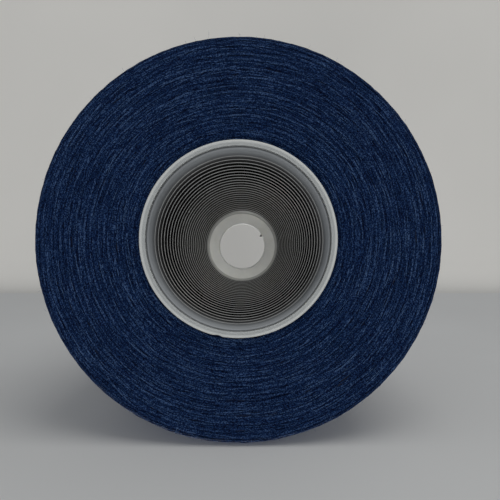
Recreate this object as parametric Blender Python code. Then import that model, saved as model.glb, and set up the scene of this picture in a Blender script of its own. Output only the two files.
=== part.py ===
"""A cone of sewing thread: a moulded plastic cone, the thread wound on it, and the thread's tucked end.

The cone stands on its base rim, nose up. The origin is the centre of the rim's underside and +Z is the cone's axis.
All lengths are in metres.
"""

import math

import bmesh
import bpy

# Driving dimensions of the moulded cone
TAPER = math.tan(math.radians(5.95))  # half angle of a standard winding cone
RIM_RADIUS = 0.0275
RIM_HEIGHT = 0.0018
SOCKET_RADIUS = 0.02577  # inner radius at the base plane
WALL = 0.00135
PLAIN_BAND = 0.0091  # smooth socket wall between the rim and the first step
STEP_PITCH = 0.00394
STEP_COUNT = 24
STEP_TREAD = 0.6  # share of the taper that a step's flat tread takes up
NOSE_FILLET = 0.0022  # inside
NOSE_ROUND = 0.0034  # outside
CROWN_THICKNESS = 0.0016
EYE_RADIUS = 0.0097  # open hole at the nose

# Driving dimensions of the winding
PACKAGE_RADIUS = 0.0575  # largest, next to the base
PACKAGE_BASE_Z = 0.0022
PACKAGE_TOP_Z = 0.0925
PACKAGE_EDGE = 0.003  # rounding of the package's two outer edges
WIND_ANGLE = math.radians(10)  # of a wrap, to the plane square to the axis

# Driving dimensions of the thread's end
THREAD_RADIUS = 0.00015
END_ANGLE = math.radians(-27)  # where the end crosses the base edge, from +X about +Z
END_ON_FACE = 0.003  # length left lying on the base face
END_TURN = math.radians(330)
END_POINTS = 72

CLEARANCE = 0.0003  # left between pieces that touch on the real cone
EDGE_ROUND = 0.0004

# Fineness of the meshes
SEGMENTS = 48
ARC_STEPS = 4
EDGE_STEPS = 2
WIDE_ARC_STEPS = 6
MERGE_DISTANCE = 1e-6
SHARP_ANGLE = math.radians(35)

SHOULDER_Z = PLAIN_BAND + STEP_PITCH * STEP_COUNT
CROWN_Z = SHOULDER_Z + NOSE_FILLET
CONE_HEIGHT = CROWN_Z + CROWN_THICKNESS


def socket_radius(z):
    """Mean inner radius of the cone at a height."""
    return SOCKET_RADIUS - TAPER * z


def shell_radius(z):
    """Outer radius of the cone at a height, above its rim."""
    return socket_radius(z) + WALL


def package_radius(z):
    """Outer radius of the wound package at a height: its side is parallel to the cone's."""
    return PACKAGE_RADIUS - TAPER * (z - PACKAGE_BASE_Z - PACKAGE_EDGE)


def arc(centre_r, centre_z, radius, start, end, steps=ARC_STEPS):
    """Points of an arc in the radius and height plane. Angles are in degrees from the outward direction."""
    turns = [math.radians(start + (end - start) * i / steps) for i in range(steps + 1)]
    return [(centre_r + radius * math.cos(t), centre_z + radius * math.sin(t)) for t in turns]


def stepped_wall():
    """The inner wall's steps: flat treads that face the base, joined by near-upright risers."""
    points = []
    drop = STEP_PITCH * TAPER * STEP_TREAD
    for i in range(STEP_COUNT):
        z = PLAIN_BAND + STEP_PITCH * (i + 0.5)
        points.append((socket_radius(z) + drop / 2, z))
        points.append((socket_radius(z) - drop / 2, z))
    return points


def cone_profile():
    """The cone's section, down the outside and up the inside."""
    nose_z = CONE_HEIGHT - NOSE_ROUND
    crown = arc(shell_radius(nose_z) - NOSE_ROUND, nose_z, NOSE_ROUND, 90, 0, WIDE_ARC_STEPS)
    neck = [(shell_radius(RIM_HEIGHT), RIM_HEIGHT)]
    rim = arc(RIM_RADIUS - EDGE_ROUND, RIM_HEIGHT - EDGE_ROUND, EDGE_ROUND, 90, 0, EDGE_STEPS)
    rim += arc(RIM_RADIUS - EDGE_ROUND, EDGE_ROUND, EDGE_ROUND, 0, -90, EDGE_STEPS)
    mouth = arc(SOCKET_RADIUS + EDGE_ROUND, EDGE_ROUND, EDGE_ROUND, -90, -180, EDGE_STEPS)
    socket = [(socket_radius(PLAIN_BAND), PLAIN_BAND)]
    fillet_r = socket_radius(SHOULDER_Z) - NOSE_FILLET
    shoulder = arc(fillet_r, SHOULDER_Z, NOSE_FILLET, 0, 90)
    lip_r = EYE_RADIUS + EDGE_ROUND
    eye = arc(lip_r, CROWN_Z + EDGE_ROUND, EDGE_ROUND, -90, -180, EDGE_STEPS)
    eye += arc(lip_r, CONE_HEIGHT - EDGE_ROUND, EDGE_ROUND, 180, 90, EDGE_STEPS)
    return crown + neck + rim + mouth + socket + stepped_wall() + shoulder + eye


def package_profile():
    """The wound package's section, down the outside and up along the cone."""
    top_r = package_radius(PACKAGE_TOP_Z - PACKAGE_EDGE) - PACKAGE_EDGE
    top = arc(top_r, PACKAGE_TOP_Z - PACKAGE_EDGE, PACKAGE_EDGE, 90, 0)
    base = arc(PACKAGE_RADIUS - PACKAGE_EDGE, PACKAGE_BASE_Z + PACKAGE_EDGE, PACKAGE_EDGE, 0, -90)
    inner = [(shell_radius(z) + CLEARANCE, z) for z in (PACKAGE_BASE_Z, PACKAGE_TOP_Z)]
    return top + base + inner


def thread_end_points():
    """The last wrap's middle line: out over the base face, round the edge, then up the side as a helix."""
    lift = CLEARANCE + THREAD_RADIUS
    edge_r = PACKAGE_RADIUS - PACKAGE_EDGE
    edge_z = PACKAGE_BASE_Z + PACKAGE_EDGE
    section = [(edge_r - END_ON_FACE, PACKAGE_BASE_Z - lift, 0.0)]
    section += [(r, z, 0.0) for r, z in arc(edge_r, edge_z, PACKAGE_EDGE + lift, -90, 0, WIDE_ARC_STEPS)]
    for i in range(1, END_POINTS + 1):
        turn = END_TURN * i / END_POINTS
        z = edge_z + PACKAGE_RADIUS * turn * math.tan(WIND_ANGLE)
        section.append((package_radius(z) + lift, z, turn))
    return [
        (r * math.cos(END_ANGLE + turn), r * math.sin(END_ANGLE + turn), z) for r, z, turn in section
    ]


def material(name, color, roughness):
    """A Principled material of one colour."""
    made = bpy.data.materials.new(name)
    made.use_nodes = True
    shader = made.node_tree.nodes["Principled BSDF"]
    shader.inputs["Base Color"].default_value = (*color, 1)
    shader.inputs["Roughness"].default_value = roughness
    shader.inputs["Metallic"].default_value = 0
    return made


def place(name, data, finish, parent):
    """Puts a piece in the scene under the assembly's empty."""
    piece = bpy.data.objects.new(name, data)
    data.materials.append(finish)
    bpy.context.scene.collection.objects.link(piece)
    piece.parent = parent
    return piece


def turned(name, profile):
    """A closed mesh turned about +Z from a closed section."""
    shape = bmesh.new()
    corners = [shape.verts.new((r, 0, z)) for r, z in profile]
    edges = [shape.edges.new((a, b)) for a, b in zip(corners, corners[1:] + corners[:1])]
    bmesh.ops.spin(
        shape,
        geom=corners + edges,
        cent=(0, 0, 0),
        axis=(0, 0, 1),
        angle=2 * math.pi,
        steps=SEGMENTS,
        use_merge=True,
    )
    bmesh.ops.remove_doubles(shape, verts=shape.verts, dist=MERGE_DISTANCE)
    bmesh.ops.recalc_face_normals(shape, faces=shape.faces)
    mesh = bpy.data.meshes.new(name)
    shape.to_mesh(mesh)
    shape.free()
    mesh.shade_smooth()
    mesh.set_sharp_from_angle(angle=SHARP_ANGLE)
    return mesh


def make_cone_tube(parent):
    """The moulded cone: rim, socket, stepped wall and open nose."""
    finish = material("milky_plastic", (0.62, 0.64, 0.62), 0.45)
    return place("cone_tube", turned("cone_tube", cone_profile()), finish, parent)


def make_thread_package(parent, finish):
    """The body of wraps on the cone."""
    return place("thread_package", turned("thread_package", package_profile()), finish, parent)


def make_thread_end(parent, finish):
    """The thread's outer end, which crosses the base edge and makes the last wrap."""
    curve = bpy.data.curves.new("thread_end", "CURVE")
    curve.dimensions = "3D"
    curve.bevel_depth = THREAD_RADIUS
    curve.bevel_resolution = 2
    curve.use_fill_caps = True
    points = thread_end_points()
    spline = curve.splines.new("POLY")
    spline.points.add(len(points) - 1)
    for point, place_xyz in zip(spline.points, points):
        point.co = (*place_xyz, 1)
    return place("thread_end", curve, finish, parent)


def main():
    for old in list(bpy.data.objects):
        bpy.data.objects.remove(old)
    assembly = bpy.data.objects.new("thread_cone", None)
    bpy.context.scene.collection.objects.link(assembly)
    navy = material("navy_thread", (0.006, 0.014, 0.038), 0.8)
    make_cone_tube(assembly)
    make_thread_package(assembly, navy)
    make_thread_end(assembly, navy)


main()
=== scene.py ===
"""The looks of a cone of sewing thread: strands wound on a milky plastic cone, lit softly on pale cloth.

The part stands nose up. The camera looks along its axis at the base end, as at a cone lying on its side, so
the pale cloth that it lies on is an upright sheet touching the winding. Lengths are in metres.
"""

import math

import bmesh
import bpy
import numpy as np
from mathutils import Matrix, Vector


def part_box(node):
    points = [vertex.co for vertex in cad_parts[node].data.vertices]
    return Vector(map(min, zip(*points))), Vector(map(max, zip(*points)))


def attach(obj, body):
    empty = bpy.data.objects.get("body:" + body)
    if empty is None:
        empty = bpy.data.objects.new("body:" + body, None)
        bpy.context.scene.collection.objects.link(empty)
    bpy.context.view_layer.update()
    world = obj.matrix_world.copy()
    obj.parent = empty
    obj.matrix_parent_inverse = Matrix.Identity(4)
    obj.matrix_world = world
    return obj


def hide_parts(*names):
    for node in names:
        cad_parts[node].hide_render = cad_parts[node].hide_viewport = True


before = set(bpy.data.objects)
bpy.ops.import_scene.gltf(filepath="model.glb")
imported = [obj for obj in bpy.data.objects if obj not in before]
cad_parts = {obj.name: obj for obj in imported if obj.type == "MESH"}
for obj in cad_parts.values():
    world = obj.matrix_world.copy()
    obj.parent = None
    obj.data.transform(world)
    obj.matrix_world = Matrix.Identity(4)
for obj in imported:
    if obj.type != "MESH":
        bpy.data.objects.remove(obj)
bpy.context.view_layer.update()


def scaled(color, factor):
    """A colour times a number."""
    return tuple(c * factor for c in color)


# ---------------------------------------------------------------- sizes

# Places read from the frame
_, CONE_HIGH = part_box("cone_tube")
PACKAGE_LOW, PACKAGE_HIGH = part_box("thread_package")
RIM_RADIUS = CONE_HIGH.y
CONE_HEIGHT = CONE_HIGH.z
PACKAGE_RADIUS = PACKAGE_HIGH.y
PACKAGE_BASE_Z = PACKAGE_LOW.z
PACKAGE_TOP_Z = PACKAGE_HIGH.z

# The moulded cone, with the design's driving dimensions, apart from its step treads, the fillet inside its nose
# and the rounding and grooves of its rim, which follow the photo more closely here
TAPER = math.tan(math.radians(5.95))
RIM_HEIGHT = 0.0018
SOCKET_RADIUS = 0.02577
WALL = 0.00135
PLAIN_BAND = 0.0091
STEP_PITCH = 0.00394
STEP_COUNT = 24
STEP_TREAD = 0.38  # share of the taper that a step's tread takes up
STEP_HEIGHTS = [PLAIN_BAND + STEP_PITCH * (i + 0.5) for i in range(STEP_COUNT)]
INNER_STEP_ROUND = 0.00005
OUTER_STEP_ROUND = 0.00008
NOSE_FILLET = 0.0009  # inside
NOSE_ROUND = 0.0034  # outside
CROWN_THICKNESS = 0.0016
CROWN_Z = CONE_HEIGHT - CROWN_THICKNESS
EYE_RADIUS = 0.0097
RIM_EDGE = 0.00042
NECK_Z = RIM_HEIGHT + 0.0003
RIM_FACE = ((0.0009, 0.0), (0.00105, 0.00012), (0.00125, 0.00014))  # distance in from its edge, and height
MOUTH_WALL = (  # height, and depth of the groove there
    (0.0011, 0),
    (0.0014, 0.00025),
    (0.0018, 0.00025),
    (0.0021, 0),
    (0.005, 0),
    (PLAIN_BAND, 0),
)

# Marks left by handling and by the mould, as angles from +X about +Z
NICK_ANGLE = math.radians(-33)
NICK_WIDTH = math.radians(2.2)
NICK_DEPTH = 0.00035
NICK_REACH = 0.0006  # in from the rim's edge
GATE_ANGLE = math.radians(-164)
GATE_WIDTH = math.radians(3.6)
GATE_DEPTH = 0.0011
GATE_RADII = (0, EYE_RADIUS + 0.0002)
GATE_HEIGHTS = (CROWN_Z + 0.0003, CROWN_Z + CROWN_THICKNESS * 0.6)

# The winding
PACKAGE_EDGE = 0.003
WIND_ANGLE = math.radians(10)
STRAND_RADIUS = 0.00013
STRAND_TIP = 0.3  # share of the radius left at both ends of a strand
STRAND_SIDES = 4
STRANDS_A_PIECE = 200_000  # triangles, at most, in one mesh of strands
TWIST_SHIFT = 10  # millimetres, at most, by which one strand's twist is ahead of the next one's
TUCK_DEPTH = 0.0030  # how far the ends of the winding dip beside the cone
TUCK_WIDTH = 0.0009
CREVICE = 0.0007  # width of the shadowed gap beside the rim
# Painted shade: how much darker the wraps in the gap beside the rim are coloured
CREVICE_SHADE = 1.3  # how much darker its innermost wraps are, on the scale of their shades
CORE_SINK = 0.0006  # of the shadowed depth, below the outermost strands
CORE_GAP = 0.00005  # between it and the cone

# The wraps on the winding's two ends
BASE_ARCS = 20000
NOSE_ARCS = 10000
ARC_POINTS = 9
ARC_BENDS = (0.0018, 0.0050)  # shortest and longest bend where a wrap turns back
ARC_BURIED = 0.0010  # how deep a wrap is followed on both sides of its bend
ARC_TILT = 0.07  # spread of a wrap's slant across the face
ARC_DEPTH = 0.00020  # mean random depth of a bend
ARC_SET_BACK = 0.0001  # of the whole face, which leaves room for the wraps that stand proud
RIPPLES = (  # size, pitch outwards, turns round the axis and phase
    (0.00005, 0.0014, 2, 0.3),
    (0.00004, 0.0023, -1, 1.9),
    (0.00003, 0.0041, 3, 4.0),
)

# Light and dark wraps on the two ends
TONE_RINGS = (0.00041, 0.00066)  # widths of wraps laid side by side that share a tone
TONE_SECTORS = 190  # how often that tone changes in one turn
TONE_MEAN = 0.5
TONE_SPREAD = 0.9
TONE_SHARE = 0.75  # of each width of ring
TONE_RAISE = 0.00010  # how far a light wrap stands proud
SHADE_MIDDLE = 0.45
SHADE_OF_TONE = 0.24
SHADE_SPREAD = 0.13

# The passes on the winding's side
SIDE_PASSES = 760
SIDE_POINTS = 130
SIDE_INSET = 0.0006  # from the winding's two ends
SIDE_STEP_ROUND = 2 * math.pi * 0.618034  # the golden section spreads the passes evenly
SIDE_WANDER = 0.0012
SIDE_WAVES = (0.6, 1.6)  # least and most waves of that wander in one pass
SIDE_PHASE = 6.3  # about one turn
SIDE_LAYERS = 0.0003  # thickness in which the passes are stacked
SIDE_UNEVEN = 0.00003
SIDE_SHADES = (1.3, 1.7)  # shape of the beta spread of their shades

# The thread's end, along the design's route
END_ANGLE = math.radians(-27)
END_ON_FACE = 0.003
END_TURN = math.radians(330)
END_STEPS = 150
END_LIFT = STRAND_RADIUS * 0.8  # above the surface that it lies on
END_DIVE = (STRAND_RADIUS * 4, 0.0006, 0.05)  # inwards, up and round, where it passes under other wraps
END_PLIES = 2
END_PLY_RADIUS = STRAND_RADIUS * 0.6
END_PLY_PITCH = 0.0011
END_SHADES = np.array([1.0, 0.9])  # one for each ply

# Stray fibres
SIDE_FIBRES = 2600
BASE_FIBRES = 900
FIBRE_RADIUS = 0.000018
FIBRE_POINTS = 5
FIBRE_LENGTHS = (0.0003, 0.0011)
FIBRE_ROOT = 0.0002  # below the surface
FIBRE_MARGIN = 0.001  # kept bare at the winding's edges
FIBRE_BY_RIM = 0.0005  # kept bare beside the rim
FIBRE_RISE, FIBRE_LEAN, FIBRE_CURL = 0.75, 0.7, 0.35  # shares of a fibre's length

# Fineness of the turned meshes
CONE_SEGMENTS = 192
CORE_SEGMENTS = 128
GROUND_SEGMENTS = 64
MERGE_DISTANCE = 1e-7
SHARP_ANGLE = math.radians(50)

# ---------------------------------------------------------------- colours

NAVY_DARK = (0.0001, 0.0010, 0.0110)
NAVY = (0.0020, 0.0120, 0.0530)
NAVY_BRIGHT = (0.0095, 0.0310, 0.0940)
# Partly painted light: highlights on the thread, and light through stray fibres
NAVY_LIT = (0.0580, 0.1050, 0.2100)
SHEEN_BLUE = (0.3, 0.5, 1, 1)
RIM_PALE = (0.365, 0.38, 0.375)
OUTSIDE_PALE = (0.56, 0.57, 0.55)
# Painted shade in the groove inside the rim
GROOVE_SHADE = (0.115, 0.122, 0.126)
# A band inside the mouth, painted lighter than the rim as if lit through it
BAND_LIT_GREY = (0.45, 0.47, 0.482)
# Painted shade where the wall is shaded, over the navy winding that shows through it
BACKED_SHADED_NEAR = (0.006, 0.006, 0.006)
# Painted light deeper in, for the light that comes in through the nose
BACKED_LIT_DEEP = (0.084, 0.083, 0.076)
# Painted light on the steps' treads, over their thicker pale plastic
TREAD_LIT = (0.66, 0.665, 0.65)
# Pale bare plastic at the nose, painted brighter as a glow from the light that comes through it
NOSE_PALE_AND_GLOW = (0.88, 0.88, 0.85)
GATE_GREY = (0.10, 0.10, 0.095)
CLOTH_PALE = (0.76, 0.76, 0.74)
BACKDROP_PALE = (0.79, 0.772, 0.725)
GROUND_PALE = (0.62, 0.62, 0.60)
ROOM_LIGHT = (0.92, 0.95, 1.0, 1)
ROOM_STRENGTH = 0.27

# Where a strand's pattern lies between the navies, and what adds to it. The darkest navy also takes the painted
# shade beside the rim, and the palest is partly a painted highlight on the fibres
THREAD_TONES = ((0.14, NAVY_DARK), (0.42, NAVY), (0.64, NAVY_BRIGHT), (0.88, NAVY_LIT))
PLY_PITCH = 0.62  # millimetres of strand from one ply to the next
TWIST_SHARE = 0.10
SHADE_SHARE = 0.42
SPECKLE_SHARE = 0.40
SPECKLE_CONTRAST = (5.0, -2.0)  # factor and offset that turn the grain into specks
CLOUD_SHARE = 0.02

# The inner wall's colour at a height: pale plastic at the rim, painted shade in the groove, a band painted
# lighter, painted shade where the navy winding lies behind the wall, painted light deeper in, and a painted
# glow at the nose
WALL_TONES = (
    (0.0, RIM_PALE),
    (0.0005, RIM_PALE),
    (0.0009, GROOVE_SHADE),
    (0.0019, GROOVE_SHADE),
    (0.0026, BAND_LIT_GREY),
    (0.0065, BAND_LIT_GREY),
    (PLAIN_BAND, scaled(BAND_LIT_GREY, 0.6)),
    (0.013, scaled(BACKED_SHADED_NEAR, 10)),
    (0.020, scaled(BACKED_SHADED_NEAR, 2)),
    (0.036, BACKED_SHADED_NEAR),
    (0.060, scaled(BACKED_LIT_DEEP, 0.7)),
    (0.090, BACKED_LIT_DEEP),
    (0.0980, BACKED_LIT_DEEP),
    (0.1010, scaled(NOSE_PALE_AND_GLOW, 0.25)),
    (0.1030, scaled(NOSE_PALE_AND_GLOW, 0.7)),
    (0.1040, NOSE_PALE_AND_GLOW),
)
# Painted light on the treads, brighter deeper in where light comes through the nose
TREAD_LIT_TONES = (
    (PLAIN_BAND, scaled(TREAD_LIT, 0.5)),
    (0.020, scaled(TREAD_LIT, 0.66)),
    (0.045, scaled(TREAD_LIT, 0.9)),
    (0.070, TREAD_LIT),
    (0.100, TREAD_LIT),
)
TREAD_FADE = 0.00012  # height over which a tread's colour fades into the wall's
TREAD_REACH = 1.8  # how far from the tread it has faded, in such heights
OUTSIDE_STARTS = 0.6  # share of the wall, from the inside, at which the outside's colour begins
GATE_INSET = 0.0007  # of the gate's scar from the eye's edge
GATE_RISE = 0.0006
GATE_FADE = 0.0004
GATE_REACH = 2.6  # how far from the scar's middle it has faded, in such lengths

# ---------------------------------------------------------------- stage, lights and camera

# Directions in the picture, in the part's frame: away from the camera is up the cone's axis
AWAY = Vector((0, 0, 1))
DOWN = Vector((math.cos(math.radians(-45)), math.sin(math.radians(-45)), 0))
RIGHT = AWAY.cross(-DOWN)

SHEET_GAP = 0.0004  # between the winding's strands and the cloth
SHEET_FOLD = 0.022
SHEET_FAR = 0.295
SHEET_NEAR = 0.35
SHEET_TALL = 0.25
SHEET_HALF_NEAR = 0.40
SHEET_HALF_FAR = 0.22
GROUND_FLAT = 0.9
GROUND_WALL = 1.6
GROUND_TALL = 2.4
GROUND_DROP = -0.0003
CURVE_TURNS = np.radians(range(10, 91, 10))  # along the sheet's fold and the ground's cove

LAMPS = (  # name, place in the picture as (right, up, away), size and power
    ("overhead_in_picture", (0.14, 0.50, -0.20), 0.4, 0.85),
    ("from_camera_side", (0.06, 0.05, -0.90), 0.36, 2.35),
    ("bounce_from_cloth", (-0.10, -0.32, -0.50), 0.4, 0.85),
    ("over_nose", (0.20, -0.10, 1.50), 1.0, 11.0),
    ("behind_sheet", (-0.15, -0.60, 0.40), 0.5, 3.0),
)
CAMERA_PLACE = (0.0029, -0.0057, -0.1785)
CAMERA_LENS = 46.6
CAMERA_LOOK = AWAY + RIGHT * 0.0018 - DOWN * 0.0141
CAMERA_CLIP = (0.005, 20)

SEED = 11
rng = np.random.default_rng(SEED)


# ---------------------------------------------------------------- shapes


def socket_radius(z):
    """Mean inner radius of the cone at a height."""
    return SOCKET_RADIUS - TAPER * z


def shell_radius(z):
    """Outer radius of the cone at a height, above its rim."""
    return socket_radius(z) + WALL


def package_radius(z):
    """Outer radius of the winding at a height."""
    return PACKAGE_RADIUS - TAPER * (z - PACKAGE_BASE_Z - PACKAGE_EDGE)


# The innermost wraps: behind the rim at the base, and beside the cone at the nose
BASE_INNER = RIM_RADIUS - 0.0004
NOSE_INNER = shell_radius(PACKAGE_TOP_Z) + 0.0003


def arc(centre_r, centre_z, radius, start, end, steps):
    """Points of an arc in the radius and height plane, in degrees from the outward direction."""
    turns = [math.radians(start + (end - start) * i / steps) for i in range(steps + 1)]
    return [(centre_r + radius * math.cos(t), centre_z + radius * math.sin(t)) for t in turns]


def stepped(surface, heights, ease):
    """Rounded steps up a wall: each tread faces the base, and the risers between are near upright."""
    points = []
    half = STEP_PITCH * TAPER * STEP_TREAD / 2
    for z in heights:
        r = surface(z)
        points += [(r + half, z - ease), (r + half - ease, z), (r - half + ease, z), (r - half, z + ease)]
    return points


def cone_profile():
    """The cone's section, down the outside and up the inside."""
    edge = RIM_EDGE
    nose_z = CONE_HEIGHT - NOSE_ROUND
    crown = arc(shell_radius(nose_z) - NOSE_ROUND, nose_z, NOSE_ROUND, 90, 0, steps=12)
    bare = [z for z in STEP_HEIGHTS if z > PACKAGE_TOP_Z - STEP_PITCH]
    neck = stepped(shell_radius, bare, OUTER_STEP_ROUND)[::-1] + [(shell_radius(NECK_Z), NECK_Z)]
    rim = arc(RIM_RADIUS - edge, RIM_HEIGHT - edge, edge, 90, 0, steps=5)
    rim += arc(RIM_RADIUS - edge, edge, edge, 0, -90, steps=6)
    rim += [(RIM_RADIUS - inset, z) for inset, z in RIM_FACE]
    mouth = arc(SOCKET_RADIUS + edge / 2, edge / 2, edge / 2, -90, -180, steps=6)
    socket = [(socket_radius(z) + deep, z) for z, deep in MOUTH_WALL]
    inner = stepped(socket_radius, STEP_HEIGHTS, INNER_STEP_ROUND)
    fillet_z = CROWN_Z - NOSE_FILLET
    shoulder = arc(socket_radius(fillet_z) - NOSE_FILLET, fillet_z, NOSE_FILLET, 0, 90, steps=8)
    lip = CROWN_THICKNESS / 2
    eye = arc(EYE_RADIUS + lip, CROWN_Z + lip, lip, -90, -270, steps=16)
    return crown + neck + rim + mouth + socket + inner + shoulder + eye


def tuck(from_cone):
    """How far the end of the winding dips at a distance from the cone."""
    return TUCK_DEPTH * np.exp(-from_cone / TUCK_WIDTH)


def core_profile():
    """The inside of the winding, a little below its outermost strands."""
    edge = PACKAGE_EDGE
    top_z, base_z = PACKAGE_TOP_Z - CORE_SINK, PACKAGE_BASE_Z + CORE_SINK
    top = arc(package_radius(top_z) - CORE_SINK - edge, top_z - edge, edge, 90, 0, steps=6)
    base = arc(package_radius(base_z + edge) - CORE_SINK - edge, base_z + edge, edge, 0, -90, steps=6)
    dips = [TUCK_WIDTH * i / 2 for i in range(7)]
    top_dips = [(shell_radius(top_z) + CORE_GAP, top_z - TUCK_DEPTH)]
    top_dips += [(NOSE_INNER + d, top_z - tuck(d)) for d in dips]
    base_dips = [(BASE_INNER + d, base_z + tuck(d)) for d in reversed(dips)]
    base_dips.append((shell_radius(base_z) + CORE_GAP, base_z + TUCK_DEPTH))
    return top_dips + top + base + base_dips


def spun_mesh(name, section, closed, segments):
    """A smooth mesh turned about +Z from a section in the radius and height plane."""
    shape = bmesh.new()
    corners = [shape.verts.new((r, 0, z)) for r, z in section]
    after = corners[1:] + corners[:1] if closed else corners[1:]
    edges = [shape.edges.new(pair) for pair in zip(corners, after)]
    turn = {"cent": (0, 0, 0), "axis": (0, 0, 1), "angle": 2 * math.pi, "steps": segments}
    bmesh.ops.spin(shape, geom=corners + edges, use_merge=True, **turn)
    bmesh.ops.remove_doubles(shape, verts=shape.verts, dist=MERGE_DISTANCE)
    bmesh.ops.recalc_face_normals(shape, faces=shape.faces)
    mesh = bpy.data.meshes.new(name)
    shape.to_mesh(mesh)
    shape.free()
    mesh.shade_smooth()
    return mesh


def link(name, data):
    """A new object in the scene."""
    made = bpy.data.objects.new(name, data)
    bpy.context.scene.collection.objects.link(made)
    return made


def turned(name, profile, segments):
    """A closed object turned about +Z from a closed section."""
    mesh = spun_mesh(name, profile, True, segments)
    mesh.set_sharp_from_angle(angle=SHARP_ANGLE)
    return link(name, mesh)


def dent(cone, middle, width, depth, radii, heights):
    """Pulls the points between two radii and two heights, near an angle, towards the axis by up to depth."""
    for v in cone.data.vertices:
        x, y, z = v.co
        r = math.hypot(x, y)
        off = abs((math.atan2(y, x) - middle + math.pi) % (2 * math.pi) - math.pi)
        if radii[0] < r < radii[1] and heights[0] < z < heights[1] and off < width:
            pull = depth * math.cos(off / width * math.pi / 2) ** 2
            v.co.x, v.co.y = x * (r - pull) / r, y * (r - pull) / r


# ---------------------------------------------------------------- strands


def strand_mesh(name, lines, radius, shade):
    """Closed tubes in one mesh, one along each line of lines[strand, point, xyz], with one shade a strand.

    The UV map holds the length along the strand in millimetres and the share of the way round it.
    """
    strands, points = lines.shape[:2]
    sides = STRAND_SIDES
    along = np.gradient(lines, axis=1)
    along /= np.linalg.norm(along, axis=2, keepdims=True)
    aside = np.cross(along, np.array([0.0, 0.0, 1.0]))
    aside /= np.linalg.norm(aside, axis=2, keepdims=True) + 1e-12  # never zero, even on an upright strand
    over = np.cross(aside, along)
    turn = 2 * np.pi * np.arange(sides) / sides
    ring = np.cos(turn)[:, None] * aside[:, :, None, :] + np.sin(turn)[:, None] * over[:, :, None, :]
    thick = np.full(points, radius)
    thick[[0, -1]] *= STRAND_TIP
    corners = (lines[:, :, None, :] + ring * thick[None, :, None, None]).reshape(-1, 3)

    first = (np.arange(strands) * points * sides)[:, None, None]
    step = (np.arange(points - 1) * sides)[None, :, None]
    side = np.arange(sides)[None, None, :]
    after = (side + 1) % sides
    below, above = first + step, first + step + sides
    quads = np.stack([below + side, above + side, above + after, below + after], -1)
    start_caps = first[:, 0] + np.arange(sides)
    end_caps = first[:, 0] + (points - 1) * sides + np.arange(sides)[::-1]
    loops = np.concatenate([quads.reshape(-1), start_caps.reshape(-1), end_caps.reshape(-1)])
    sizes = np.concatenate([np.full(quads.size // 4, 4), np.full(2 * strands, sides)])

    mesh = bpy.data.meshes.new(name)
    mesh.vertices.add(len(corners))
    mesh.vertices.foreach_set("co", corners.ravel())
    mesh.loops.add(len(loops))
    mesh.loops.foreach_set("vertex_index", loops)
    mesh.polygons.add(len(sizes))
    mesh.polygons.foreach_set("loop_start", np.concatenate([[0], np.cumsum(sizes)[:-1]]))
    mesh.polygons.foreach_set("use_smooth", np.ones(len(sizes), bool))

    gap = np.linalg.norm(np.diff(lines, axis=1), axis=2) * 1000  # millimetres
    length = np.concatenate([np.zeros((strands, 1)), np.cumsum(gap, axis=1)], axis=1)
    length += rng.uniform(0, TWIST_SHIFT, (strands, 1))
    uv = np.zeros((len(loops), 2))
    low, high = length[:, :-1, None], length[:, 1:, None]
    near, far = side / sides + 0 * low, (side + 1) / sides + 0 * low
    low, high = low + 0 * near, high + 0 * near
    uv[: quads.size, 0] = np.stack([low, high, high, low], -1).ravel()
    uv[: quads.size, 1] = np.stack([near, near, far, far], -1).ravel()
    mesh.uv_layers.new(name="lay").data.foreach_set("uv", uv.ravel())
    tone = mesh.attributes.new("shade", "FLOAT", "POINT")
    tone.data.foreach_set("value", np.repeat(shade, points * sides))
    mesh.update(calc_edges=True)
    return mesh


def strand_pieces(stem, lines, radius, shade, finish):
    """Puts many strands in the scene as a few numbered pieces, none too heavy to store."""
    each = (lines.shape[1] - 1) * STRAND_SIDES * 2 + 2 * (STRAND_SIDES - 2)
    count = max(1, math.ceil(len(lines) * each / STRANDS_A_PIECE))
    made = []
    for i, (some, tones) in enumerate(zip(np.array_split(lines, count), np.array_split(shade, count))):
        name = f"{stem}_{i + 1}"
        piece = link(name, strand_mesh(name, some, radius, tones))
        piece.data.materials.append(finish)
        made.append(piece)
    return made


def polar_points(r, angle, z):
    """Points in the part's frame from radius, angle and height."""
    return np.stack([r * np.cos(angle), r * np.sin(angle), z], -1)


def rounded_off(past, edge):
    """How far a rounded edge has fallen away at a distance past where it starts."""
    return edge - np.sqrt(np.maximum(edge**2 - past**2, 0))


def ripple(r, angle):
    """A slow, uneven wave over a face, which sets some wraps back and lets others stand proud."""
    total = np.zeros_like(r)
    for size, pitch, turns, phase in RIPPLES:
        total += size * np.sin(2 * np.pi * r / pitch + turns * angle + phase)
    return total


def lay_tones(radius, angle, width):
    """The tone of wraps at places on a face, about -2 to 2.

    Neighbours share theirs over a short arc, and light and dark wraps alternate outwards along a spiral. The
    spiral gains two rings a turn, so that light meets light where it closes.
    """
    rings = math.ceil(PACKAGE_RADIUS / width) + 4  # enough for the two that the spiral gains
    table = np.abs(rng.normal(TONE_MEAN, TONE_SPREAD, (rings, TONE_SECTORS)))
    table[::2] *= -1
    ring = (radius / width + angle / np.pi).astype(int)
    shift = rng.uniform(0, TONE_SECTORS, rings)[ring]
    place = (angle / (2 * np.pi) * TONE_SECTORS + shift) % TONE_SECTORS
    low = place.astype(int) % TONE_SECTORS
    share = place - place.astype(int)
    return table[ring, low] * (1 - share) + table[ring, (low + 1) % TONE_SECTORS] * share


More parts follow.
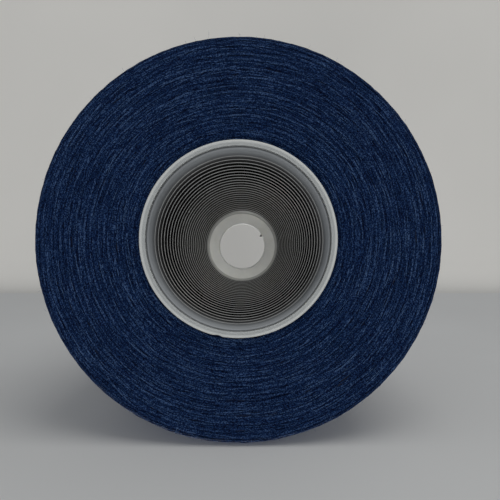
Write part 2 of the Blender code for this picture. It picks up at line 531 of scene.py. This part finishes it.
def face_arcs(count, inner, outer, face_z, into):
    """The turning points of wraps on a flat end of the winding, and the shade of each.

    Each wrap comes down its layer, turns back at the end and goes up again, so that it shows as a shallow
    arc round the axis whose middle lies on the face and whose ends sink into it. into is 1 where they sink
    towards +Z and -1 where they sink the other way.
    """
    radius = np.sqrt(rng.uniform(inner**2, outer**2, count))
    middle = rng.uniform(0, 2 * np.pi, count)
    bend = rng.uniform(*ARC_BENDS, count)
    tones = TONE_SHARE * sum(lay_tones(radius, middle, width) for width in TONE_RINGS)
    slope = math.tan(WIND_ANGLE)
    depth = rng.exponential(ARC_DEPTH, count) + ripple(radius, middle) + ARC_SET_BACK - TONE_RAISE * tones
    depth += tuck(radius - inner)
    half = ARC_BURIED / slope + bend / 2
    s = np.linspace(-1, 1, ARC_POINTS)[None, :] * half[:, None]
    w = bend[:, None]
    sink = np.where(np.abs(s) < w, s**2 * slope / (2 * w), slope * (np.abs(s) - w / 2))
    tilt = rng.normal(0, ARC_TILT, count) * np.clip((outer - radius) / PACKAGE_EDGE, 0, 1)
    r = np.clip(radius[:, None] + tilt[:, None] * s - into * TAPER * sink, inner, outer)
    over_edge = rounded_off(np.clip(r - (outer - PACKAGE_EDGE), 0, PACKAGE_EDGE), PACKAGE_EDGE)
    angle = middle[:, None] + s / radius[:, None]
    shade = SHADE_MIDDLE + SHADE_OF_TONE * tones + rng.normal(0, SHADE_SPREAD, count)
    return polar_points(r, angle, face_z + into * (depth[:, None] + over_edge + sink)), shade


def side_passes(count):
    """The outermost layers: a thread going up and down the side as a helix, each pass laid on the last."""
    low, high = PACKAGE_BASE_Z + SIDE_INSET, PACKAGE_TOP_Z - SIDE_INSET
    share = np.linspace(0, 1, SIDE_POINTS)
    turns = (high - low) / (2 * math.pi * package_radius((low + high) / 2) * math.tan(WIND_ANGLE))
    lines = []
    start = 0.0
    for i in range(count):
        up = i % 2 == 0
        z = low + (high - low) * (share if up else 1 - share)
        waves = 2 * np.pi * share * rng.uniform(*SIDE_WAVES)
        wander = SIDE_WANDER * np.sin(waves + rng.uniform(0, SIDE_PHASE))
        angle = start + 2 * math.pi * turns * share
        height = -SIDE_LAYERS * (1 - i / count) + rng.normal(0, SIDE_UNEVEN)
        near_base = np.clip(PACKAGE_EDGE - (z - PACKAGE_BASE_Z), 0, PACKAGE_EDGE)
        near_top = np.clip(PACKAGE_EDGE - (PACKAGE_TOP_Z - z), 0, PACKAGE_EDGE)
        drop = rounded_off(np.maximum(near_base, near_top), PACKAGE_EDGE)
        r = package_radius(z) - STRAND_RADIUS + height - drop
        z = np.clip(z + wander * np.sin(np.pi * share), low, high)
        lines.append(polar_points(r, angle, z))
        start = angle[-1] + SIDE_STEP_ROUND
    return np.array(lines)


def end_route():
    """The thread's end: from the base face, over the edge, up the side as the last wrap, under others."""
    lift = END_LIFT
    edge_r, edge_z = PACKAGE_RADIUS - PACKAGE_EDGE, PACKAGE_BASE_Z + PACKAGE_EDGE
    section = [(edge_r - END_ON_FACE, PACKAGE_BASE_Z + STRAND_RADIUS * 2, 0.0)]
    section += [(edge_r - END_ON_FACE * (1 - i / 4), PACKAGE_BASE_Z - lift, 0.0) for i in range(1, 4)]
    section += [(r, z, 0.0) for r, z in arc(edge_r, edge_z, PACKAGE_EDGE + lift, -90, 0, steps=10)]
    for i in range(1, END_STEPS + 1):
        turn = END_TURN * i / END_STEPS
        z = edge_z + PACKAGE_RADIUS * turn * math.tan(WIND_ANGLE)
        section.append((package_radius(z) + lift, z, turn))
    r, z, turn = section[-1]
    inwards, up, round_axis = END_DIVE
    section.append((r - inwards, z + up, turn + round_axis))
    angles = [END_ANGLE + turn for _, _, turn in section]
    return np.array([(r * math.cos(a), r * math.sin(a), z) for (r, z, _), a in zip(section, angles)])


def twisted(route, plies, radius, pitch):
    """The middle lines of plies that twist round a route, each half a radius off it."""
    gap = np.linalg.norm(np.diff(route, axis=0), axis=1)
    length = np.concatenate([[0], np.cumsum(gap)])
    fine = np.arange(0, length[-1], pitch / 8)  # eight points a turn
    line = np.stack([np.interp(fine, length, route[:, i]) for i in range(3)], -1)
    along = np.gradient(line, axis=0)
    along /= np.linalg.norm(along, axis=1, keepdims=True)
    out = line * np.array([1, 1, 0])
    out /= np.linalg.norm(out, axis=1, keepdims=True)
    aside = np.cross(along, out)
    aside /= np.linalg.norm(aside, axis=1, keepdims=True)
    over = np.cross(aside, along)
    made = []
    for i in range(plies):
        turn = 2 * np.pi * (fine / pitch + i / plies)
        made.append(line + radius / 2 * (np.cos(turn)[:, None] * aside + np.sin(turn)[:, None] * over))
    return np.array(made)


def fuzz(count, place):
    """Short stray fibres of the spun thread. place(n) gives n roots and their outward directions."""
    root, out = place(count)
    length = rng.uniform(*FIBRE_LENGTHS, count)[:, None]
    lean = rng.normal(0, 1, (count, 3))
    lean /= np.linalg.norm(lean, axis=1, keepdims=True)
    curl = rng.normal(0, 1, (count, 3))
    s = np.linspace(0, 1, FIBRE_POINTS)[None, :, None]
    path = out[:, None, :] * s * FIBRE_RISE + lean[:, None, :] * s * FIBRE_LEAN
    path += curl[:, None, :] * (s**2) * FIBRE_CURL
    return root[:, None, :] + path * length[:, None, :]


def on_side(count):
    """Random roots on the winding's side."""
    z = rng.uniform(PACKAGE_BASE_Z + FIBRE_MARGIN, PACKAGE_TOP_Z - FIBRE_MARGIN, count)
    angle = rng.uniform(0, 2 * np.pi, count)
    return polar_points(package_radius(z) - FIBRE_ROOT, angle, z), polar_points(1.0, angle, 0 * z)


def on_base(count):
    """Random roots on the winding's base face."""
    inner, outer = RIM_RADIUS + FIBRE_BY_RIM, PACKAGE_RADIUS - FIBRE_MARGIN
    r = np.sqrt(rng.uniform(inner**2, outer**2, count))
    angle = rng.uniform(0, 2 * np.pi, count)
    root = polar_points(r, angle, np.full(count, PACKAGE_BASE_Z + FIBRE_ROOT))
    return root, np.tile([0.0, 0.0, -1.0], (count, 1))


# ---------------------------------------------------------------- materials


def new_material(name):
    """A node material, its node tree and its Principled shader."""
    made = bpy.data.materials.new(name)
    made.use_nodes = True
    return made, made.node_tree, made.node_tree.nodes["Principled BSDF"]


def set_inputs(node, values):
    """Sets a node's inputs from a mapping of their names."""
    for name, value in values.items():
        node.inputs[name].default_value = value


def position(tree):
    """The place in the scene, as a socket."""
    return tree.nodes.new("ShaderNodeNewGeometry").outputs["Position"]


def math_node(tree, kind, a, b=None, c=None, clamp=False):
    """A Math node, whose inputs are sockets or numbers. Gives its output."""
    node = tree.nodes.new("ShaderNodeMath")
    node.operation = kind
    node.use_clamp = clamp
    for socket, value in zip(node.inputs, (a, b, c)):
        if isinstance(value, (int, float)):
            socket.default_value = value
        elif value is not None:
            tree.links.new(value, socket)
    return node.outputs[0]


def noise(tree, vector, scale, detail):
    """A noise texture's value."""
    node = tree.nodes.new("ShaderNodeTexNoise")
    set_inputs(node, {"Scale": scale, "Detail": detail})
    tree.links.new(vector, node.inputs["Vector"])
    return node.outputs["Fac"]


def ramp(tree, value, stops):
    """A colour ramp's output for stops of (place, colour)."""
    node = tree.nodes.new("ShaderNodeValToRGB")
    points = node.color_ramp.elements
    while len(points) < len(stops):
        points.new(1.0)
    for point, (place, color) in zip(points, stops):
        point.position = place
        point.color = (*color, 1)
    tree.links.new(value, node.inputs[0])
    return node.outputs["Color"]


def mixed(tree, kind, factor, a, b):
    """A colour mix, whose factor is a socket or a number. Gives its output."""
    node = tree.nodes.new("ShaderNodeMix")
    node.data_type = "RGBA"
    node.blend_type = kind
    if isinstance(factor, (int, float)):
        node.inputs["Factor"].default_value = factor
    else:
        tree.links.new(factor, node.inputs["Factor"])
    for socket, value in ((node.inputs["A"], a), (node.inputs["B"], b)):
        if isinstance(value, tuple):
            socket.default_value = (*value, 1)
        else:
            tree.links.new(value, socket)
    return node.outputs["Result"]


def bump(tree, height, shader, distance, strength):
    """Drives the shader's normal from a height."""
    node = tree.nodes.new("ShaderNodeBump")
    set_inputs(node, {"Distance": distance, "Strength": strength})
    tree.links.new(height, node.inputs["Height"])
    tree.links.new(node.outputs["Normal"], shader.inputs["Normal"])


def make_thread_material():
    """Two-ply spun thread: twist along each strand, fibre speckle, and strands of different depth."""
    made, tree, shader = new_material("navy_thread")
    uv = tree.nodes.new("ShaderNodeUVMap")
    uv.uv_map = "lay"
    split = tree.nodes.new("ShaderNodeSeparateXYZ")
    tree.links.new(uv.outputs[0], split.inputs[0])
    phase = math_node(tree, "MULTIPLY_ADD", split.outputs["X"], 2 * math.pi / PLY_PITCH, 0.0)
    around = math_node(tree, "MULTIPLY_ADD", split.outputs["Y"], 4 * math.pi, phase)
    twist = math_node(tree, "MULTIPLY_ADD", math_node(tree, "SINE", around), 0.5, 0.5)
    place = position(tree)
    grain = noise(tree, place, scale=2900, detail=0)
    speckle = math_node(tree, "MULTIPLY_ADD", grain, *SPECKLE_CONTRAST, clamp=True)
    cloud = noise(tree, place, scale=160, detail=2)
    tone = tree.nodes.new("ShaderNodeAttribute")
    tone.attribute_name = "shade"
    total = math_node(tree, "MULTIPLY", tone.outputs["Fac"], SHADE_SHARE)
    for pattern, share in ((twist, TWIST_SHARE), (speckle, SPECKLE_SHARE), (cloud, CLOUD_SHARE)):
        total = math_node(tree, "MULTIPLY_ADD", pattern, share, total)
    tree.links.new(ramp(tree, total, THREAD_TONES), shader.inputs["Base Color"])
    set_inputs(shader, {"Roughness": 0.62, "Specular IOR Level": 0.06})
    set_inputs(shader, {"Sheen Weight": 0.02, "Sheen Roughness": 0.5, "Sheen Tint": SHEEN_BLUE})
    relief = math_node(tree, "MULTIPLY_ADD", speckle, 0.5, twist)
    bump(tree, relief, shader, distance=0.00005, strength=0.7)
    return made


def make_core_material():
    """The shadowed depth between the outermost strands."""
    made, tree, shader = new_material("thread_depth")
    grain = noise(tree, position(tree), scale=900, detail=3)
    color = ramp(tree, grain, ((0.35, NAVY_DARK), (0.65, scaled(NAVY, 0.4))))
    tree.links.new(color, shader.inputs["Base Color"])
    set_inputs(shader, {"Roughness": 0.9})
    bump(tree, grain, shader, distance=0.0002, strength=0.5)
    return made


def make_fibre_material():
    """Stray fibres, paler than the thread because light passes through them."""
    made, tree, shader = new_material("navy_fibre")
    grain = noise(tree, position(tree), scale=700, detail=2)
    color = ramp(tree, grain, ((0.3, scaled(NAVY, 1.5)), (0.7, NAVY_LIT)))
    tree.links.new(color, shader.inputs["Base Color"])
    set_inputs(shader, {"Roughness": 0.6})
    return made


def tread_light_mask(tree, height):
    """1 on the steps' treads, where light is painted, and 0 on the wall between them."""
    turns = math_node(tree, "MULTIPLY_ADD", height, 1 / STEP_PITCH, -PLAIN_BAND / STEP_PITCH)
    past_tread = math_node(tree, "SUBTRACT", math_node(tree, "FRACT", turns), 0.5)
    from_tread = math_node(tree, "ABSOLUTE", past_tread)
    near = math_node(tree, "MULTIPLY_ADD", from_tread, -STEP_PITCH / TREAD_FADE, TREAD_REACH, clamp=True)
    past_band = math_node(tree, "GREATER_THAN", height, PLAIN_BAND)
    return math_node(tree, "MULTIPLY", near, past_band)


def outer_mask(tree, split):
    """Near 1 on the outside of the cone's wall, and 0 on the inside of it."""
    across = math_node(tree, "MULTIPLY", split.outputs["Y"], split.outputs["Y"])
    squared = math_node(tree, "MULTIPLY_ADD", split.outputs["X"], split.outputs["X"], across)
    radius = math_node(tree, "SQRT", squared)
    inner = math_node(tree, "MULTIPLY_ADD", split.outputs["Z"], -TAPER, SOCKET_RADIUS)
    deep = math_node(tree, "SUBTRACT", radius, inner)
    return math_node(tree, "MULTIPLY_ADD", deep, 2 / WALL, -2 * OUTSIDE_STARTS, clamp=True)


def gate_mask(tree, place):
    """1 at the scar where the plastic entered the mould, on the eye's edge, and 0 elsewhere."""
    node = tree.nodes.new("ShaderNodeVectorMath")
    node.operation = "DISTANCE"
    tree.links.new(place, node.inputs[0])
    gate_r = EYE_RADIUS - GATE_INSET
    scar = (gate_r * math.cos(GATE_ANGLE), gate_r * math.sin(GATE_ANGLE), CROWN_Z + GATE_RISE)
    node.inputs[1].default_value = scar
    return math_node(tree, "MULTIPLY_ADD", node.outputs["Value"], -1 / GATE_FADE, GATE_REACH, clamp=True)


def make_plastic_material(name, gloss, worn, milky):
    """Milky moulded plastic, pale at its rim and outside, with painted shade and light inside and a painted
    glow at its nose.
    """
    made, tree, shader = new_material(name)
    place = position(tree)
    split = tree.nodes.new("ShaderNodeSeparateXYZ")
    tree.links.new(place, split.inputs[0])
    height = split.outputs["Z"]
    share = math_node(tree, "MULTIPLY", height, 1 / CONE_HEIGHT)
    # Painted shade and light down the inner wall, by height
    wall_color = ramp(tree, share, [(z / CONE_HEIGHT, color) for z, color in WALL_TONES])
    # Painted light on the treads, over the wall's painted shade
    tread_light = ramp(tree, share, [(z / CONE_HEIGHT, color) for z, color in TREAD_LIT_TONES])
    inside = mixed(tree, "MIX", tread_light_mask(tree, height), wall_color, tread_light)
    color = mixed(tree, "MIX", outer_mask(tree, split), inside, OUTSIDE_PALE)
    color = mixed(tree, "MIX", gate_mask(tree, place), color, GATE_GREY)
    streaks = noise(tree, place, scale=220, detail=4)
    flow = ramp(tree, streaks, ((0.3, (0.72, 0.72, 0.72)), (0.7, (1, 1, 1))))
    tree.links.new(mixed(tree, "MULTIPLY", 0.3, color, flow), shader.inputs["Base Color"])
    rough = math_node(tree, "MULTIPLY_ADD", noise(tree, place, scale=600, detail=3), 0.2, worn)
    tree.links.new(rough, shader.inputs["Roughness"])
    set_inputs(shader, {"Specular IOR Level": gloss, "Subsurface Weight": milky})
    set_inputs(shader, {"Subsurface Radius": (1.0, 1.0, 0.95), "Subsurface Scale": 0.0012})
    bump(tree, noise(tree, place, scale=900, detail=2), shader, distance=0.00003, strength=0.25)
    return made


def make_cloth_material(name, color):
    """Pale backing, seen from its front only."""
    made, tree, shader = new_material(name)
    place = tree.nodes.new("ShaderNodeNewGeometry")
    weave = noise(tree, place.outputs["Position"], scale=6, detail=3)
    tint = ramp(tree, weave, ((0.3, scaled(color, 0.93)), (0.7, color)))
    tree.links.new(tint, shader.inputs["Base Color"])
    set_inputs(shader, {"Roughness": 0.85})
    see_through = tree.nodes.new("ShaderNodeBsdfTransparent")
    choose = tree.nodes.new("ShaderNodeMixShader")
    tree.links.new(place.outputs["Backfacing"], choose.inputs["Fac"])
    tree.links.new(shader.outputs[0], choose.inputs[1])
    tree.links.new(see_through.outputs[0], choose.inputs[2])
    tree.links.new(choose.outputs[0], tree.nodes["Material Output"].inputs["Surface"])
    return made


# ---------------------------------------------------------------- making the stage, lights and camera


def picture_point(right, up, away):
    """A place given as in the picture: right, up, and away from the camera, from the centre of the base."""
    return RIGHT * right - DOWN * up + AWAY * away


def make_cloth_sheet():
    """The cloth that the cone lies on and the backdrop: one sheet with a curved fold, against the winding.

    It takes the cone's shadow, but it blocks no lamp and throws no light back.
    """
    lean = math.atan(TAPER)
    touch_z = PACKAGE_BASE_Z + PACKAGE_EDGE
    touch = picture_point(0, -package_radius(touch_z) - SHEET_GAP, touch_z)
    forward = AWAY * math.cos(lean) - DOWN * math.sin(lean)
    upward = -DOWN * math.cos(lean) - AWAY * math.sin(lean)
    fold, bend = SHEET_FOLD, SHEET_FAR - SHEET_FOLD
    section = [(-SHEET_NEAR, 0.0), (bend, 0.0)]
    section += [(bend + fold * math.sin(t), fold - fold * math.cos(t)) for t in CURVE_TURNS]
    section.append((SHEET_FAR, SHEET_TALL))
    corners = []
    for a, b in section:
        row = touch + forward * a + upward * b
        half_width = SHEET_HALF_NEAR if a < 0 else SHEET_HALF_FAR
        corners += [row - RIGHT * half_width, row + RIGHT * half_width]
    faces = [(2 * i, 2 * i + 1, 2 * i + 3, 2 * i + 2) for i in range(len(section) - 1)]
    mesh = bpy.data.meshes.new("cloth_sheet")
    mesh.from_pydata([tuple(c) for c in corners], [], faces)
    mesh.shade_smooth()
    sheet = link("cloth_sheet", mesh)
    if mesh.polygons[0].normal.dot(upward) < 0:
        mesh.flip_normals()
    mesh.materials.append(make_cloth_material("pale_cloth", CLOTH_PALE))
    mesh.materials.append(make_cloth_material("pale_backdrop", BACKDROP_PALE))
    for face in mesh.polygons[1:]:
        face.material_index = 1
    sheet.visible_shadow = False
    sheet.visible_diffuse = False


def make_ground():
    """The pale floor that the standing cone rests on, curving up into a wall all round.

    It is seen from inside only, and no light on the part comes from it or stops at it.
    """
    cove = GROUND_WALL - GROUND_FLAT
    section = [(0, GROUND_DROP), (GROUND_FLAT, GROUND_DROP)]
    for t in CURVE_TURNS:
        section.append((GROUND_FLAT + cove * math.sin(t), GROUND_DROP + cove * (1 - math.cos(t))))
    section.append((GROUND_WALL, GROUND_TALL))
    mesh = spun_mesh("ground", section, False, GROUND_SEGMENTS)
    lowest = min(mesh.polygons, key=lambda face: face.center.z)
    if lowest.normal.z < 0:
        mesh.flip_normals()
    ground = link("ground", mesh)
    mesh.materials.append(make_cloth_material("pale_ground", GROUND_PALE))
    ground.visible_shadow = False
    ground.visible_diffuse = False
    ground.visible_glossy = False
    ground.visible_transmission = False


def make_lights():
    """Square soft lamps aimed at the part's middle, in a dim pale room.

    The first three light the base end as in the picture, and the last two the standing cone's other sides.
    """
    middle = picture_point(0, 0, CONE_HEIGHT / 2)
    for name, place, size, power in LAMPS:
        data = bpy.data.lights.new(name, "AREA")
        data.size = size
        data.energy = power
        lamp = link(name, data)
        lamp.location = picture_point(*place)
        lamp.visible_camera = False
        lamp.rotation_mode = "QUATERNION"
        lamp.rotation_quaternion = (middle - picture_point(*place)).to_track_quat("-Z", "Y")
    world = bpy.data.worlds.new("soft_room")
    world.use_nodes = True
    set_inputs(world.node_tree.nodes["Background"], {"Color": ROOM_LIGHT, "Strength": ROOM_STRENGTH})
    bpy.context.scene.world = world


def make_camera():
    """Looks up the cone's axis at its base, from a little right of the axis and below it in the picture."""
    data = bpy.data.cameras.new("camera")
    data.sensor_width = 36
    data.lens = CAMERA_LENS
    data.clip_start, data.clip_end = CAMERA_CLIP
    camera = link("camera", data)
    camera.location = picture_point(*CAMERA_PLACE)
    back = -CAMERA_LOOK.normalized()
    right = (-DOWN).cross(back).normalized()
    turn = Matrix((right, back.cross(right), back)).transposed()
    camera.rotation_mode = "QUATERNION"
    camera.rotation_quaternion = turn.to_quaternion()
    bpy.context.scene.camera = camera


# ---------------------------------------------------------------- assembly


def make_cone():
    """The moulded plastic cone, matt inside and glossier at its rim, outside and nose."""
    cone = turned("plastic_cone", cone_profile(), CONE_SEGMENTS)
    rim_edge = (RIM_RADIUS - NICK_REACH, math.inf)
    dent(cone, NICK_ANGLE, NICK_WIDTH, NICK_DEPTH, rim_edge, (-math.inf, RIM_HEIGHT))
    dent(cone, GATE_ANGLE, GATE_WIDTH, GATE_DEPTH, GATE_RADII, GATE_HEIGHTS)
    glossy = make_plastic_material("milky_plastic", gloss=0.4, worn=0.30, milky=0.5)
    matt = make_plastic_material("milky_plastic_inside", gloss=0.0, worn=0.60, milky=0.0)
    cone.data.materials.append(glossy)
    cone.data.materials.append(matt)
    for face in cone.data.polygons:
        x, y, z = face.center
        inside = math.hypot(x, y) < socket_radius(z) + WALL / 2
        face.material_index = int(inside and RIM_HEIGHT / 2 < z < CROWN_Z - NOSE_FILLET)
    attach(cone, "root")
    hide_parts("cone_tube")


def make_winding():
    """The wound thread: its shadowed depth, the wraps on its ends and side, its tucked end and its fuzz."""
    navy = make_thread_material()
    core = turned("winding_depth", core_profile(), CORE_SEGMENTS)
    core.data.materials.append(make_core_material())
    reach = PACKAGE_RADIUS - STRAND_RADIUS
    base, base_shade = face_arcs(BASE_ARCS, BASE_INNER, reach, PACKAGE_BASE_Z, 1)
    bends = base[:, ARC_POINTS // 2]
    from_rim = np.hypot(bends[:, 0], bends[:, 1]) - RIM_RADIUS
    # Painted shade on the wraps in the gap beside the rim
    base_shade -= CREVICE_SHADE * np.clip(1 - from_rim / CREVICE, 0, 1)
    nose_reach = package_radius(PACKAGE_TOP_Z - PACKAGE_EDGE) - STRAND_RADIUS
    nose, nose_shade = face_arcs(NOSE_ARCS, NOSE_INNER, nose_reach, PACKAGE_TOP_Z, -1)
    side = side_passes(SIDE_PASSES)
    pieces = [core]
    pieces += strand_pieces("base_wraps", base, STRAND_RADIUS, base_shade, navy)
    pieces += strand_pieces("nose_wraps", nose, STRAND_RADIUS, nose_shade, navy)
    side_shade = rng.beta(*SIDE_SHADES, len(side))
    pieces += strand_pieces("side_wraps", side, STRAND_RADIUS, side_shade, navy)
    fibre = make_fibre_material()
    stray = {"side_fuzz": fuzz(SIDE_FIBRES, on_side), "base_fuzz": fuzz(BASE_FIBRES, on_base)}
    for stem, lines in stray.items():
        pieces += strand_pieces(stem, lines, FIBRE_RADIUS, np.full(len(lines), 0.5), fibre)
    for piece in pieces:
        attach(piece, "root")
        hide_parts("thread_package")
    plies = twisted(end_route(), END_PLIES, STRAND_RADIUS, END_PLY_PITCH)
    end = strand_pieces("tucked_end", plies, END_PLY_RADIUS, END_SHADES, navy)[0]
    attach(end, "root")
    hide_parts("thread_end")


bpy.context.scene.view_settings.view_transform = "Standard"
make_camera()
make_cloth_sheet()
make_ground()
make_lights()
make_cone()
make_winding()
